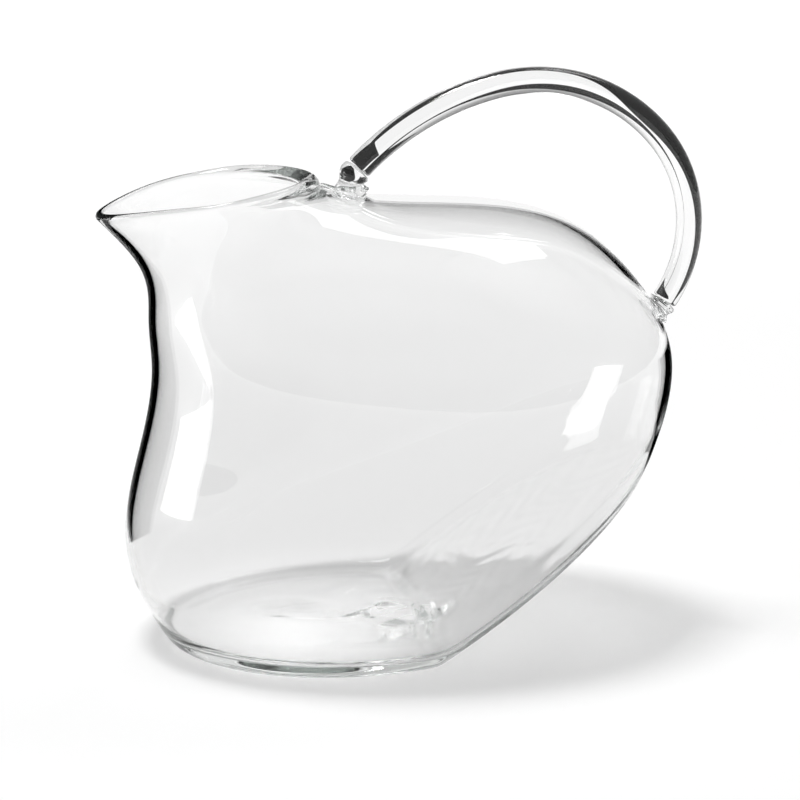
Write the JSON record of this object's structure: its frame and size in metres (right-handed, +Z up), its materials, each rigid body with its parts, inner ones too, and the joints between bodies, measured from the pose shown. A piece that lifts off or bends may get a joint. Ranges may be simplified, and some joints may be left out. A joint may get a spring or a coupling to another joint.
{
  "type": "glass carafe",
  "caption": "Mouth-blown clear glass carafe with a pinched spout, a standing facet, a slanted facet to lean back on, and a high rod handle.",
  "frame": {"origin": "middle of the standing facet, on the table", "axes": "+Z up, +X from the spout towards the handle, XZ is the plane of symmetry"},
  "size_m": [0.2092, 0.1346, 0.1959],
  "materials": {
    "clear_glass": "polished"
  },
  "bodies": {
    "root": {"body": "clear_glass", "handle": "clear_glass", "upper_joint": "clear_glass", "lower_joint": "clear_glass"}
  },
  "joints": []
}
